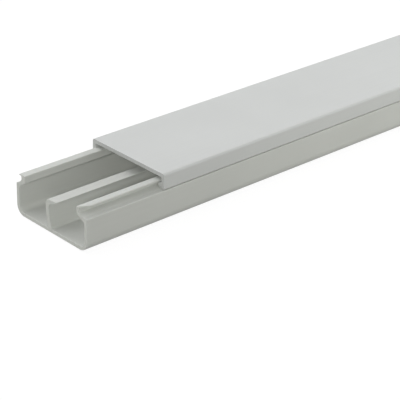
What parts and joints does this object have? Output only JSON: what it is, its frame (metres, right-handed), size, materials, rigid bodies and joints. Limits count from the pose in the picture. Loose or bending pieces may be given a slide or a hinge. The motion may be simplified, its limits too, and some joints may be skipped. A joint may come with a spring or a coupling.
{
  "type": "cord cover raceway",
  "caption": "Straight self-adhesive cable raceway: a grey PVC channel with a bowed divider and lips for a flat lid, which hooks on and slides along.",
  "frame": {"origin": "middle of the back face, on the release liner, where the raceway goes against a wall", "axes": "+X along the stick towards the end that the lid is drawn to, +Z out from the wall to the lid, +Y across the channel"},
  "size_m": [0.435, 0.04, 0.02],
  "materials": {
    "channel_pvc": "satin",
    "lid_pvc": "satin",
    "tape_adhesive": "gloss",
    "liner_paper": "satin"
  },
  "bodies": {
    "channel": {"base_channel": "channel_pvc", "adhesive_tape": "tape_adhesive", "release_liner": "liner_paper"},
    "lid": {"cover_lid": "lid_pvc"}
  },
  "joints": [
    {"name": "lid_slide", "type": "slide", "parent": "channel", "child": "lid", "axis": [1, 0, 0], "range_m": [-0.035, 0.315]}
  ]
}
